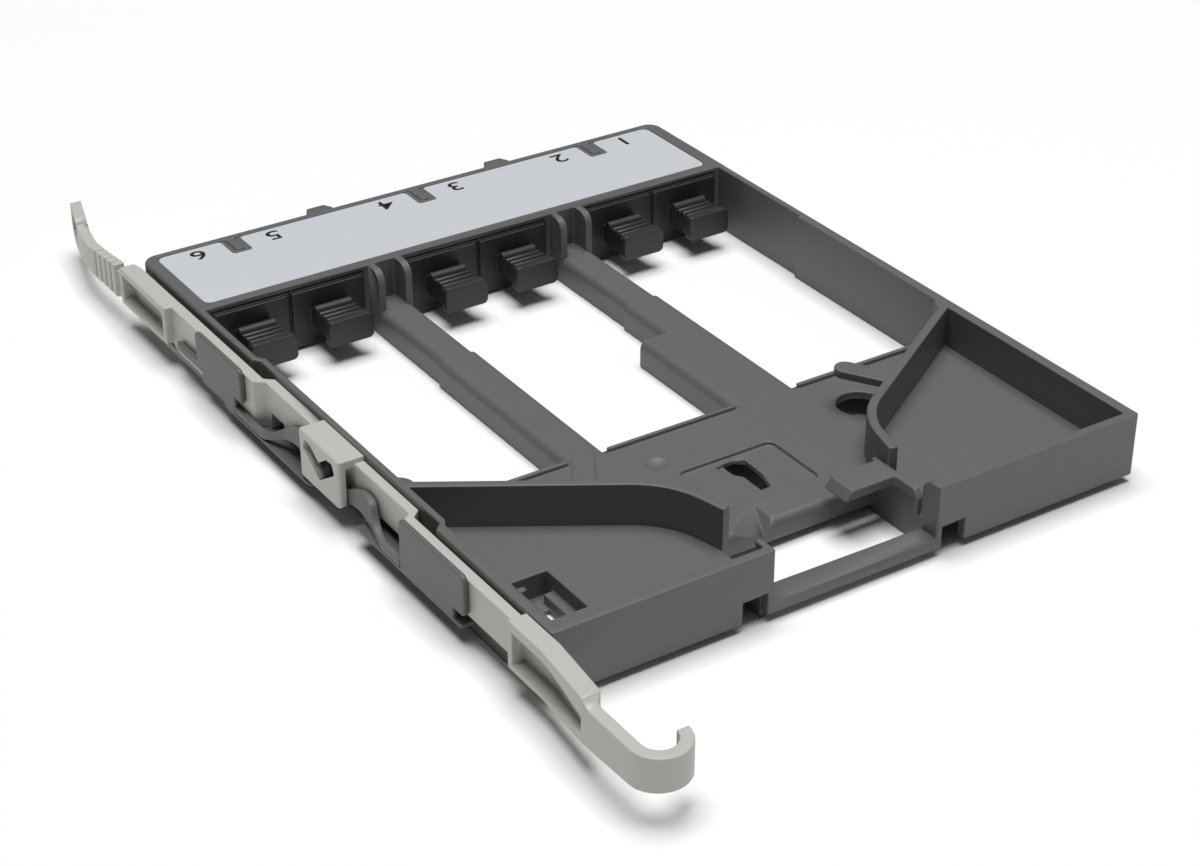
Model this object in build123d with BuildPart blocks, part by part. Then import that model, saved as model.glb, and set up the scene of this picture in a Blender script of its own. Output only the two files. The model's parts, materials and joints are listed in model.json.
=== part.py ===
"""Adapter pack: a moulded tray with six fibre adapters in front and a sliding release bar.

Millimetres. X is positive towards the release bar, Y towards the handle, Z up.
The origin is on the table plane under the middle of the tray.
"""
from build123d import *
from math import cos, radians, sin, tan
import os

os.makedirs("parts", exist_ok=True)

# Adapters: two side by side in each of three bays
adapter_width = 12.9
adapter_height = 9.4
adapter_length = 21.3
adapter_pitch = 13.0
group_pitch = 33.4
group_count = 3
port_width = 9.9
port_height = 6.9
key_width = 2.7
key_depth = 0.9
mouth_margin = 0.5
hook_wall = 1.5
hook_reach = 6.2
hook_thick = 0.7
hook_height = 2.2
hook_barb = 0.3
hook_gap = 0.65
ferrule_window = (6.6, 2.7)

# Tray, overall
half_length = 60.5
floor_top = 4.5
floor_thick = 1.3
rib_thick = 1.15
fit = 0.1
corner_round = 0.45

# Adapter bay and its label field
bay_floor = 0.7
bay_roof = 0.8
bay_front_lip = 0.6
bay_set_back = 0.25
bay_wall_plain = 2.3
bay_wall_latch = 1.75
bay_corner = 2.4
rim_round = 0.6
label_thick = 0.16
label_sink = 0.3
label_margin = 1.4
label_corner = 1.2
ridge_width = 1.6
ridge_length = 4.2
notch_margin = 0.9
notch_round = 0.6
tab_reach = 1.6
tab_root = 4.6
tab_tip = 2.8
tab_thick = 1.2

# Spines between the bays
spine_x = group_pitch / 2
spine_half_front = 2.95
spine_half_rear = 3.4
spine_step = -16.4
spine_round = 1.4
spine_wall = 1.3
bracket_edge = 8.75
bracket_front = -5.1
post_reach = 3.5
post_round = 2.0
post_gap = 3.6

# Floor plate and corner bins
plate_front = 19.1
plate_rear = 46.7
plate_lip = 0.65
bin_wall = 1.4
bin_start_y = 19.4
bin_angle = 32.0
bin_end_x = 14.0
bin_end_y = 48.8
bin_end_angle = 76.0
bin_bend = 13.5
bin_fillet = 2.5
tongue_width = 3.3
tongue_reach = 7.0
tongue_thick = 1.3
tongue_x = 26.2
round_hole = (-24.9, 28.1)
round_hole_radius = 3.5
dimple = (9.4, 26.0)
dimple_radius = 2.1
dimple_depth = 0.4
recess_x = (-7.8, 8.3)
recess_y = (29.4, 41.0)
recess_depth = 0.55
recess_corner = 1.2
keyhole_rim = [(2.6, 30.6), (-0.8, 30.2), (-2.0, 31.3), (-1.9, 35.3), (-1.1, 38.6), (1.5, 38.8), (1.7, 35.9), (2.8, 34.3)]
keyhole_bore = [(1.3, 30.4), (-0.8, 30.2), (-2.0, 31.4), (-1.9, 35.3), (-1.1, 38.6), (0.4, 38.7), (0.4, 34.2), (1.3, 32.9)]
keyhole_step = 0.4
well_x = (36.5, 41.9)
well_y = (40.1, 49.9)
well_wall = 0.9
well_floor = 0.8
well_ledge = (1.5, 1.4)
well_hole_x = (38.1, 40.3)
well_hole_y = (43.3, 46.3)
well_tab_x = (40.9, 42.1)
well_tab_y = (41.5, 42.5)
well_tab_thick = 1.0
ramp_corner = (4.3, 41.9)
ramp_far = (11.7, 46.4)
ramp_fall = 34.0
ramp_side_fall = 50.0

# Rear wall and handle
rear_wall = 1.5
skirt_gap = 1.2
notch_width = 4.0
notch_top = 4.65
handle_left = 15.6
handle_right = -13.4
handle_post = 1.0
handle_bar_top = 3.0
handle_bar_depth = 3.5
handle_side_drop = 2.8
handle_side_thin = 0.7
handle_side_end = 56.2
handle_post_round = 2.0
plate_round = 1.25
clip_x = (-13.4, -4.0)
clip_y = (46.4, 51.2)
clip_thick = 1.5
clip_bevel = 1.2

# Side walls: outer face and thickness in the front, middle and rear
wall_plain = 48.3
wall_thin = 1.05
wall_thick = 1.6
wall_middle = 47.3
wall_rear = 48.5
jog_front = -21.5
jog_rear = 31.3
jog_length = 1.2

# Release bar, from the wall outwards
bar_gap = 0.6
bar_web = 1.7
bar_web_middle = 1.55
bar_drop = 0.8
bar_jog_front = -15.5
bar_jog_rear = 26.0
bar_bottom_front = 3.0
bar_bottom_middle = 5.05
bar_bottom_rear = 4.6
block_front = (-60.5, -44.0)
block_stand = 1.35
block_bottom = 4.1
block_drop = 0.6
block_pocket_depth = 1.9
block_wall = 0.95
block_round = 0.35
bridge_y = (-0.5, 11.2)
bridge_plate = 1.2
bridge_roof = 1.3
bridge_bottom = 3.3
bridge_round = 0.5
bridge_corner = 1.3
heart_width = 9.2
heart_vertex = 5.4
heart_shoulder = 8.4
heart_top = 10.0
heart_cusp = 8.2
heart_y = 5.3
rear_block_y = (54.9, 73.2)
rear_block_width = 2.8
rear_block_bottom = 3.8
rear_block_bend = 62.8
rear_block_lean = 1.05
arm_width = 1.8
arm_drop = 1.0
arm_bottom = 5.0
hook_y = 83.2
hook_inner = 2.4
tab_ribs = 5
tab_rib_pitch = 2.0
tab_rib_width = 1.45
tab_width = 1.8
tab_core = 1.3
tab_top = 8.7
tab_bottom = 4.3
tab_head_top = 9.6
tab_bend = (1.4, -80.8)
tab_end = (47.3, -88.3)

# Latch channel on the frame
guard_thick = 0.8
guard_gap = 0.15
ledge_thick = 0.6
ledge_front = (-25.1, 2.5)
ledge_rear = (15.3, 43.3)
ledge_corner = 2.0
guard_front = (-34.0, -19.1)
guard_foot = (-32.3, -21.5)
guard_wing = -41.0
guard_wing_z = (4.7, 6.1)
guard_step = 5.6
guard_rear = (27.5, 44.2)
guard_rear_step = (3.0, 4.9)
guard_round = 0.8

# Latch spring: heights of its long edges along Y, and its place across at the ends
leaf_width = 1.15
leaf_foot_thick = 1.15
leaf_ends = (-21.4, 27.4)
leaf_feet = (-14.0, 19.8)
leaf_low_wave = [(-10.5, 3.7), (-6.4, 5.3), (-3.8, 5.7), (1.0, 4.2), (5.3, 3.6), (11.2, 4.3), (14.6, 4.75)]
leaf_high_wave = [(-10.4, 5.0), (-5.4, 8.0), (-3.2, 8.1), (1.0, 6.6), (5.3, 5.6), (9.5, 5.7), (15.2, 7.9), (17.4, 7.6)]
leaf_shift = (-12.2, -8.0, 17.0, 22.6)
peg_radius = 0.85
tooth_reach = 1.6

# Plugs
plug_flange = 0.4
plug_margin = 0.2
plug_neck = 6.2
plug_block = 7.7
plug_reach = 7.7
plug_low = 3.1
plug_high = 7.4
plug_block_thick = 1.5
plug_neck_top = 6.7
plug_ridge = (1.6, 0.85)
plug_ribs = (3.1, 4.3, 5.5)
plug_rib_radius = 0.45

# Worked out from the sizes above
adapter_centres = [
    (group - (group_count - 1) / 2) * group_pitch + side * adapter_pitch / 2
    for group in range(group_count)
    for side in (-1, 1)
]
ridge_centres = [(index - (group_count - 1) / 2) * group_pitch for index in range(group_count)]
cavity_half = (adapter_pitch + adapter_width) / 2 + fit / 2
cavity_top = bay_floor + adapter_height + fit
tray_height = cavity_top + bay_roof
bay_inner = group_pitch * (group_count - 1) / 2 + cavity_half
bay_plain = -(bay_inner + bay_wall_plain)
bay_latch = bay_inner + bay_wall_latch
adapter_front = -half_length + bay_front_lip
adapter_rear = adapter_front + adapter_length
adapter_middle = (adapter_front + adapter_rear) / 2
bay_rear = adapter_rear - bay_set_back
port_centre_z = bay_floor + adapter_height / 2
field_x = (bay_plain + label_margin + 1.1, bay_latch - label_margin - 0.65)
field_y = (-half_length + label_margin, bay_rear - 2.0)
web_inner = bay_latch + bar_gap
web_outer = web_inner + bar_web
guard_inner = web_outer + guard_gap
guard_outer = guard_inner + guard_thick
web_middle_inner = wall_middle + fit
web_middle_outer = web_middle_inner + bar_web_middle
leaf_inner = web_middle_outer + fit
leaf_outer = leaf_inner + leaf_width
bridge_inner = leaf_outer + fit
bridge_outer = bridge_inner + bridge_plate
bar_top = tray_height - bar_drop
block_outer = web_outer + block_stand
block_top = tray_height - block_drop
arm_top = tray_height - arm_drop
handle_side_top = tray_height - handle_side_drop
ledge_front_top = bar_bottom_front - fit
ledge_rear_top = 3.3
rear_inner = half_length - rear_wall


def block(x_span, y_span, z_span, mode=Mode.ADD):
    """A straight block between two corners, added to or cut from the open part."""
    with BuildSketch(Plane.XY.offset(z_span[0])) as base:
        with Locations((sum(x_span) / 2, sum(y_span) / 2)):
            Rectangle(abs(x_span[1] - x_span[0]), abs(y_span[1] - y_span[0]))
    extrude(base.sketch, amount=z_span[1] - z_span[0], mode=mode)


def outline(points, plane, rounded=(), radius=0.0):
    """A closed face with straight sides, and round corners at the points listed by index."""
    with BuildSketch(plane) as face:
        with BuildLine():
            Polyline(*points, close=True)
        make_face()
        corners = [
            vertex
            for vertex in face.vertices()
            if any(abs(vertex.X - points[i][0]) + abs(vertex.Y - points[i][1]) < fit / 10 for i in rounded)
        ]
        if corners:
            fillet(corners, radius)
    return face.sketch


def spine_section(left, right, plane):
    """Inverted channel between two sides, with rounded shoulders."""
    with BuildSketch(plane) as face:
        with BuildLine():
            FilletPolyline((left, 0), (left, floor_top), (right, floor_top), (right, 0), radius=spine_round)
            Line((right, 0), (left, 0))
        make_face()
        with BuildLine():
            Polyline(
                (left + spine_wall, 0),
                (left + spine_wall, floor_top - spine_wall),
                (right - spine_wall, floor_top - spine_wall),
                (right - spine_wall, 0),
                close=True,
            )
        make_face(mode=Mode.SUBTRACT)
    return face.sketch


def bin_path(side):
    """Centre line of a bin wall: a straight run, one bend, and a short run to its end."""
    end = (cos(radians(bin_end_angle)), sin(radians(bin_end_angle)))
    start_x = wall_plain - wall_thick / 2 if side < 0 else wall_middle - wall_thin / 2
    start = (start_x, bin_start_y + (wall_plain - start_x) * tan(radians(bin_angle)))
    finish = (bin_end_x, bin_end_y)
    across = start[0] - finish[0]
    along = finish[1] - start[1]
    tail = (along - across * tan(radians(bin_angle))) / (end[1] - end[0] * tan(radians(bin_angle)))
    corner = (finish[0] + tail * end[0], finish[1] - tail * end[1])
    return [(side * x, y) for x, y in (start, corner, finish)]


def bin_wall_face(side, plane):
    """Top view of a bin wall, as a band along its centre line."""
    with BuildSketch(plane) as face:
        with BuildLine() as centre:
            FilletPolyline(*bin_path(side), radius=bin_bend)
        trace(centre.line, line_width=bin_wall)
    return face.sketch


def bin_corner_face(side, plane):
    """Top view of the round inside corner between a side wall and the bay side of a bin wall."""
    run = Vector(-side * cos(radians(bin_angle)), sin(radians(bin_angle)))
    out = Vector(-side * sin(radians(bin_angle)), -cos(radians(bin_angle)))
    wall_x = side * (wall_plain - wall_thick if side < 0 else wall_middle - wall_thin)
    start = Vector(*bin_path(side)[0]) + out * (bin_wall / 2)
    corner = start + run * ((start.X - wall_x) / (side * cos(radians(bin_angle))))
    leg = bin_fillet * tan(radians((90 - bin_angle) / 2))
    low = corner - Vector(0, leg)
    far = corner + run * leg
    with BuildSketch(plane) as face:
        with BuildLine():
            RadiusArc((low.X, low.Y), (far.X, far.Y), side * bin_fillet)
            Polyline(
                (far.X, far.Y),
                (far.X, far.Y + bin_wall / 2),
                (corner.X + side * wall_thin / 2, corner.Y + bin_wall / 2),
                (corner.X + side * wall_thin / 2, low.Y),
                (low.X, low.Y),
            )
        make_face()
    return face.sketch


def label_field(plane, notch_grow, shrink):
    """Field with round corners and a notch for each ridge, smaller all round by shrink."""
    width = field_x[1] - field_x[0] - 2 * shrink
    depth = field_y[1] - field_y[0] - 2 * shrink
    notch = (ridge_width + 2 * notch_grow, 2 * (ridge_length + notch_grow))
    with BuildSketch(plane) as face:
        with Locations((sum(field_x) / 2, sum(field_y) / 2)):
            Rectangle(width, depth)
        with Locations([(x, field_y[0]) for x in ridge_centres]):
            Rectangle(*notch, mode=Mode.SUBTRACT)
        sides = face.vertices().group_by(Axis.X)
        fillet(sides[0] + sides[-1], label_corner)
        notches = [
            vertex
            for vertex in face.vertices()
            if min(abs(abs(vertex.X - x) - notch[0] / 2) for x in ridge_centres) < fit / 10
        ]
        fillet(notches, notch_round)
    return face.sketch


# Label: fills the field in the bay roof, round the ridges on the front rim
with BuildPart() as label:
    extrude(label_field(Plane.XY.offset(tray_height - label_sink), notch_margin, fit), amount=label_thick)
label.part.label = "label"
export_step(label.part, "parts/label.step")


# Ramp at the rear edge of the plate: all that lies above its two slopes
ramp_run = Vector(ramp_far[0] - ramp_corner[0], ramp_far[1] - ramp_corner[1], 0).normalized()
ramp_down = Vector(-ramp_run.Y, ramp_run.X, 0)
ramp_plane = Plane(
    origin=(*ramp_corner, floor_top),
    x_dir=ramp_run,
    z_dir=Vector(0, 0, 1) * cos(radians(ramp_fall)) + ramp_down * sin(radians(ramp_fall)),
)
ramp_side = Plane(
    origin=(*ramp_corner, floor_top),
    x_dir=(0, 1, 0),
    z_dir=(sin(radians(ramp_side_fall)), 0, cos(radians(ramp_side_fall))),
)
with BuildPart() as ramp_cut:
    block(
        (ramp_corner[0], handle_left - handle_post),
        (ramp_corner[1], plate_rear + fit),
        (0, floor_top),
    )
    split(bisect_by=ramp_plane, keep=Keep.TOP)
    split(bisect_by=ramp_side, keep=Keep.TOP)

# Frame: adapter bay, spines, plate, bins, walls, handle and latch channel, one moulding
with BuildPart() as frame:
    # Bay block with one cavity for each pair of adapters
    bay = outline(
        [(bay_plain, -half_length), (bay_latch, -half_length), (bay_latch, bay_rear), (bay_plain, bay_rear)],
        Plane.XY,
        rounded=[0, 1],
        radius=bay_corner,
    )
    extrude(bay, amount=tray_height)
    fillet(frame.faces().sort_by(Axis.Z)[-1].edges().sort_by(Axis.Y)[:-1], rim_round)
    for centre in ridge_centres:
        block(
            (centre - cavity_half, centre + cavity_half),
            (adapter_front, bay_rear + 1),
            (bay_floor, cavity_top),
            mode=Mode.SUBTRACT,
        )
        block(
            (centre - cavity_half + mouth_margin, centre + cavity_half - mouth_margin),
            (-half_length - 1, adapter_front + 1),
            (bay_floor + mouth_margin, cavity_top - mouth_margin),
            mode=Mode.SUBTRACT,
        )
    # Thick parts between the pairs are cored from below
    for side in (-1, 1):
        core_half = spine_x - cavity_half - spine_wall
        block(
            (side * spine_x - core_half, side * spine_x + core_half),
            (-half_length + spine_wall, bay_rear - spine_wall),
            (0, cavity_top - spine_wall),
            mode=Mode.SUBTRACT,
        )
    extrude(
        label_field(Plane.XY.offset(tray_height), 0, 0),
        amount=-label_sink,
        mode=Mode.SUBTRACT,
    )
    # Two tabs on the front edge
    for side in (-1, 1):
        tab = outline(
            [
                (side * spine_x - tab_root / 2, rim_round - half_length),
                (side * spine_x - tab_root / 2, -half_length),
                (side * spine_x - tab_tip / 2, -half_length - tab_reach),
                (side * spine_x + tab_tip / 2, -half_length - tab_reach),
                (side * spine_x + tab_root / 2, -half_length),
                (side * spine_x + tab_root / 2, rim_round - half_length),
            ],
            Plane.XY.offset(tray_height - tab_thick),
        )
        extrude(tab, amount=tab_thick)

    # Posts at the spine heads: a channel open to the rear between two ribs
    for side in (-1, 1):
        post_half = post_gap / 2 + rib_thick
        post_rear = bay_rear + post_reach
        with BuildSketch(Plane.YZ.offset(side * spine_x - post_half)) as post_side:
            with BuildLine():
                FilletPolyline(
                    (bay_rear - 1, tray_height),
                    (post_rear, tray_height),
                    (post_rear, 0),
                    radius=post_round,
                )
                Polyline((post_rear, 0), (bay_rear - 1, 0), (bay_rear - 1, tray_height))
            make_face()
        extrude(amount=2 * post_half)
        channel = outline(
            [
                (side * spine_x - post_gap / 2, post_rear + 1),
                (side * spine_x - post_gap / 2, bay_rear),
                (side * spine_x + post_gap / 2, bay_rear),
                (side * spine_x + post_gap / 2, post_rear + 1),
            ],
            Plane.XY.offset(floor_top),
            rounded=[1, 2],
            radius=corner_round,
        )
        extrude(channel, amount=tray_height, mode=Mode.SUBTRACT)

    # Spines, in two widths; the one away from the bar ends in a third, a wide bracket
    for side in (-1, 1):
        middle = side * spine_x
        rear_end = plate_front + 1 if side > 0 else bracket_front
        front = spine_section(
            middle - spine_half_front,
            middle + spine_half_front,
            Plane.XZ.offset(-spine_step),
        )
        extrude(front, amount=spine_step - bay_rear)
        rear = spine_section(middle - spine_half_rear, middle + spine_half_rear, Plane.XZ.offset(-rear_end))
        extrude(rear, amount=rear_end - spine_step)
    wide = spine_section(-spine_x - spine_half_rear, -bracket_edge, Plane.XZ.offset(-plate_front - 1))
    extrude(wide, amount=plate_front + 1 - bracket_front)
    block(
        (-spine_x, -bracket_edge - spine_wall / 2),
        (bracket_front, bracket_front + spine_wall),
        (0, floor_top - spine_wall),
    )

    # Floor plate, with the two bins running on to the rear wall
    floor = outline(
        [
            (-wall_plain + wall_thin / 2, plate_front),
            (wall_middle - wall_thin / 2, plate_front),
            (wall_middle - wall_thin / 2, rear_inner + 0.5),
            (handle_left - handle_post, rear_inner + 0.5),
            (handle_left - handle_post, plate_rear - 2 * plate_round),
            (handle_right, plate_rear - 2 * plate_round),
            (handle_right, rear_inner + 0.5),
            (-wall_plain + wall_thin / 2, rear_inner + 0.5),
        ],
        Plane.XY.offset(floor_top - floor_thick),
    )
    extrude(floor, amount=floor_thick)
    for lip_span in (
        (-wall_plain + wall_thin / 2, -spine_x - spine_half_rear),
        (-bracket_edge, spine_x - spine_half_rear),
        (spine_x + spine_half_rear, wall_middle - wall_thin / 2),
    ):
        block(lip_span, (plate_front, plate_front + plate_lip), (0, floor_top + plate_lip))
    # Rear edge of the plate, rounded over a skirt; solid under the ramp
    edge_front = ramp_corner[1] - 1
    skirt = [
        (plate_rear - floor_thick, skirt_gap),
        (plate_rear - floor_thick, floor_top - floor_thick),
        (edge_front, floor_top - floor_thick),
    ]
    for edge_start, foot in ((handle_right, skirt), (ramp_corner[0], [(edge_front, skirt_gap)])):
        with BuildSketch(Plane.YZ.offset(edge_start)) as plate_edge:
            with BuildLine():
                FilletPolyline(
                    (edge_front, floor_top),
                    (plate_rear, floor_top),
                    (plate_rear, skirt_gap),
                    radius=plate_round,
                )
                Polyline((plate_rear, skirt_gap), *foot, (edge_front, floor_top))
            make_face()
        extrude(amount=handle_left - handle_post - edge_start)
    add(ramp_cut.part, mode=Mode.SUBTRACT)

    # Side wall away from the bar, thin in front, and the rear wall up to the handle
    block((-wall_plain, -wall_plain + wall_thin), (bay_rear, spine_step), (0, tray_height))
    plain_wall = outline(
        [
            (-wall_plain, spine_step),
            (-wall_plain, half_length),
            (handle_right, half_length),
            (handle_right, rear_inner),
            (-wall_plain + wall_thick, rear_inner),
            (-wall_plain + wall_thick, spine_step),
        ],
        Plane.XY,
        rounded=[1, 4],
        radius=corner_round,
    )
    extrude(plain_wall, amount=tray_height)
    # Side wall next to the bar, with its two jogs, and the rear wall with a curl at the handle
    latch_wall = outline(
        [
            (bay_latch, bay_rear),
            (bay_latch, jog_front),
            (wall_middle, jog_front + jog_length),
            (wall_middle, jog_rear),
            (wall_rear, jog_rear + jog_length),
            (wall_rear, half_length),
            (handle_left - handle_post, half_length),
            (handle_left - handle_post, half_length - handle_bar_depth),
            (handle_left, half_length - handle_bar_depth),
            (handle_left, rear_inner),
            (wall_rear - wall_thick, rear_inner),
            (wall_rear - wall_thick, jog_rear + jog_length - 0.3),
            (wall_middle - wall_thin, jog_rear - 0.3),
            (wall_middle - wall_thin, jog_front + jog_length - 0.3),
            (bay_latch - wall_thin, jog_front - 0.3),
            (bay_latch - wall_thin, bay_rear),
        ],
        Plane.XY,
        rounded=range(1, 15),
        radius=corner_round,
    )
    extrude(latch_wall, amount=tray_height)
    # The rear wall ends above the table, and has a notch at each handle end
    block((-wall_plain - 1, wall_rear + 1), (rear_inner, half_length + 1), (-1, skirt_gap), mode=Mode.SUBTRACT)
    block(
        (handle_left, handle_left + notch_width),
        (rear_inner - fit, half_length + 1),
        (0, notch_top),
        mode=Mode.SUBTRACT,
    )
    block(
        (handle_right - notch_width, handle_right),
        (rear_inner - fit, half_length + 1),
        (0, notch_top),
        mode=Mode.SUBTRACT,
    )

    # Bin walls and the tongues that reach out from them
    for side in (-1, 1):
        extrude(
            bin_wall_face(side, Plane.XY.offset(floor_top - floor_thick)),
            amount=tray_height - floor_top + floor_thick,
        )
        extrude(
            bin_corner_face(side, Plane.XY.offset(floor_top - floor_thick)),
            amount=tray_height - floor_top + floor_thick,
        )
        root = (side * tongue_x, bin_start_y + (wall_plain - tongue_x) * tan(radians(bin_angle)))
        tip = (
            root[0] - side * tongue_reach * sin(radians(bin_angle)),
            root[1] - tongue_reach * cos(radians(bin_angle)),
        )
        with BuildSketch(Plane.XY.offset(tray_height - tongue_thick)) as tongue:
            with BuildLine() as tongue_line:
                Line(root, tip)
            trace(tongue_line.line, line_width=tongue_width)
            with Locations(tip):
                Circle(tongue_width / 2)
        extrude(amount=tongue_thick)

    # Handle: bar, post and the cheeks that tie it to the plate
    handle_front = half_length - handle_bar_depth
    block((handle_right, handle_left), (handle_front, half_length), (skirt_gap, handle_bar_top))
    with BuildSketch(Plane.YZ.offset(handle_right)) as post_side:
        with BuildLine():
            FilletPolyline(
                (half_length, tray_height),
                (handle_front, tray_height),
                (handle_front, skirt_gap),
                radius=handle_post_round,
            )
            Polyline((handle_front, skirt_gap), (half_length, skirt_gap), (half_length, tray_height))
        make_face()
    extrude(amount=handle_post)
    block(
        (handle_left - handle_post, handle_left),
        (plate_rear - 1, handle_front + 1),
        (0, floor_top),
    )
    block(
        (handle_right, handle_right + handle_side_thin),
        (plate_rear - 1, handle_front + 1),
        (0, floor_top),
    )
    block(
        (handle_right, handle_right + handle_side_thin),
        (plate_rear - 1, handle_side_end - handle_post),
        (floor_top, handle_side_top),
    )
    cheek_rib = outline(
        [
            (clip_y[0], handle_side_top - clip_thick),
            (clip_y[0], handle_side_top),
            (handle_side_end - handle_post, handle_side_top),
            (handle_side_end, handle_side_top - clip_bevel),
            (handle_side_end, floor_top),
            (handle_side_end - handle_post, floor_top),
            (handle_side_end - handle_post, handle_side_top - clip_thick),
        ],
        Plane.YZ.offset(handle_right),
    )
    extrude(cheek_rib, amount=handle_post)
    clip = outline(
        [
            (clip_x[0], handle_side_top),
            (clip_x[0], handle_side_top - clip_thick),
            (clip_x[1], handle_side_top - clip_thick),
            (clip_x[1] - clip_bevel, handle_side_top),
        ],
        Plane.XZ.offset(-clip_y[1]),
    )
    extrude(clip, amount=clip_y[1] - clip_y[0])

    # Recess with the keyed slot, round holes and dimple
    with BuildSketch(Plane.XY.offset(floor_top)) as recess:
        with Locations((sum(recess_x) / 2, sum(recess_y) / 2)):
            RectangleRounded(recess_x[1] - recess_x[0], recess_y[1] - recess_y[0], recess_corner)
    extrude(amount=-recess_depth, mode=Mode.SUBTRACT)
    keyhole = outline(keyhole_rim, Plane.XY.offset(floor_top))
    extrude(keyhole, amount=-recess_depth - keyhole_step, mode=Mode.SUBTRACT)
    with BuildSketch(Plane.XY) as through:
        with Locations(round_hole, (-round_hole[0], round_hole[1])):
            Circle(round_hole_radius)
    extrude(amount=floor_top + 1, mode=Mode.SUBTRACT)
    extrude(outline(keyhole_bore, Plane.XY), amount=floor_top + 1, mode=Mode.SUBTRACT)
    with Locations((dimple[0], dimple[1], floor_top + dimple_radius * 2 - dimple_depth)):
        Sphere(dimple_radius * 2, mode=Mode.SUBTRACT)

    # Well in the floor of the bin next to the bar, with a ledge, a small hole and a tab
    block(
        (well_x[0] - well_wall, well_x[1] + well_wall),
        (well_y[0] - well_wall, well_y[1] + well_wall),
        (0, floor_top),
    )
    block(well_x, well_y, (well_floor, floor_top + fit), mode=Mode.SUBTRACT)
    block(
        (well_x[0], well_x[0] + well_ledge[0]),
        (well_y[0] + well_ledge[0], well_y[1]),
        (well_floor, well_floor + well_ledge[1]),
    )
    block(well_hole_x, well_hole_y, (-1, well_floor + fit), mode=Mode.SUBTRACT)
    block(well_tab_x, well_tab_y, (floor_top - well_tab_thick, floor_top))

    # Latch channel: ledges under the bar and guards outside it
    ledge_low = ledge_front_top - ledge_thick
    front_ledge = outline(
        [
            (bay_latch - wall_thin, ledge_front[0]),
            (guard_outer, ledge_front[0]),
            (guard_outer, ledge_front[1]),
            (wall_middle - wall_thin / 2, ledge_front[1]),
            (wall_middle - wall_thin / 2, jog_front + jog_length),
            (bay_latch - wall_thin / 2, jog_front),
        ],
        Plane.XY.offset(ledge_low),
        rounded=[2],
        radius=ledge_corner,
    )
    extrude(front_ledge, amount=ledge_thick)
    guard = outline(
        [
            (guard_front[0], tray_height),
            (guard_front[1], tray_height),
            (guard_front[1], guard_step),
            (guard_foot[1], guard_step),
            (guard_foot[1], ledge_low),
            (ledge_front[0], ledge_low),
            (ledge_front[0], bar_bottom_front),
            (guard_foot[0], bar_bottom_front),
            (guard_foot[0], guard_wing_z[0]),
            (guard_wing, guard_wing_z[0]),
            (guard_wing, guard_wing_z[1]),
            (guard_front[0], guard_wing_z[1]),
        ],
        Plane.YZ.offset(guard_inner),
        rounded=[0, 1],
        radius=guard_round,
    )
    extrude(guard, amount=guard_thick)
    block(
        (wall_middle - wall_thin / 2, guard_outer),
        ledge_rear,
        (ledge_rear_top - ledge_thick, ledge_rear_top),
    )
    rear_guard = outline(
        [
            (guard_rear[0], ledge_rear_top - ledge_thick),
            (guard_rear[0], tray_height),
            (guard_rear[1], tray_height),
            (guard_rear[1], guard_rear_step[1]),
            (guard_rear[1] - guard_rear_step[0], guard_rear_step[1]),
            (guard_rear[1] - guard_rear_step[0], ledge_rear_top - ledge_thick),
        ],
        Plane.YZ.offset(guard_inner),
        rounded=[1, 2, 3],
        radius=guard_round,
    )
    extrude(rear_guard, amount=guard_thick)
frame.part.label = "frame"
export_step(frame.part, "parts/frame.step")


# Latch spring: a wavy leaf on the two ledges, with the follower peg in the cam window
with BuildPart() as latch_spring:
    with BuildSketch(Plane.YZ.offset(leaf_inner)) as leaf:
        with BuildLine():
            low_start = (leaf_feet[0], ledge_front_top)
            low_end = (leaf_feet[1], ledge_rear_top)
            high_start = (leaf_feet[0], ledge_front_top + leaf_foot_thick)
            high_end = (leaf_feet[1] + 3, ledge_rear_top + leaf_foot_thick)
            Spline(low_start, *leaf_low_wave, low_end, tangents=[(1, 0), (1, 0)])
            Polyline(
                low_end,
                (leaf_ends[1], ledge_rear_top),
                (leaf_ends[1], ledge_rear_top + leaf_foot_thick),
                high_end,
            )
            Spline(high_start, *leaf_high_wave, high_end, tangents=[(1, 0), (1, 0)])
            Polyline(
                high_start,
                (leaf_ends[0], ledge_front_top + leaf_foot_thick),
                (leaf_ends[0], ledge_front_top),
                low_start,
            )
        make_face()
    extrude(amount=guard_outer - leaf_inner)
    plan = outline(
        [
            (guard_outer, leaf_ends[0]),
            (guard_outer, leaf_shift[0]),
            (leaf_outer, leaf_shift[1]),
            (leaf_outer, leaf_shift[2]),
            (guard_outer, leaf_shift[3]),
            (guard_outer, leaf_ends[1]),
            (guard_inner, leaf_ends[1]),
            (guard_inner, leaf_shift[3]),
            (leaf_inner, leaf_shift[2]),
            (leaf_inner, leaf_shift[1]),
            (guard_inner, leaf_shift[0]),
            (guard_inner, leaf_ends[0]),
        ],
        Plane.XY,
        rounded=[1, 2, 3, 4, 7, 8, 9, 10],
        radius=2.0,
    )
    extrude(plan, amount=tray_height, mode=Mode.INTERSECT)
    with BuildSketch(Plane.YZ.offset(leaf_outer - fit)) as peg:
        with Locations((heart_y, heart_vertex + peg_radius + 0.25)):
            Circle(peg_radius)
    extrude(amount=bridge_plate + fit)
    # Peg foot and catch tooth, above and under the leaf
    block(
        (leaf_inner, leaf_outer),
        (heart_y - tooth_reach / 2, heart_y + tooth_reach / 2),
        (bridge_bottom - fit, heart_vertex + peg_radius),
    )
latch_spring.part.label = "latch_spring"
export_step(latch_spring.part, "parts/latch_spring.step")


# Release bar
def rib_top(index):
    """Top of a grip rib: the ribs step down towards the tip of the pull tab."""
    return arm_top - (index + 1) * (arm_top - tab_top) / (tab_ribs + 1)


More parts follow.
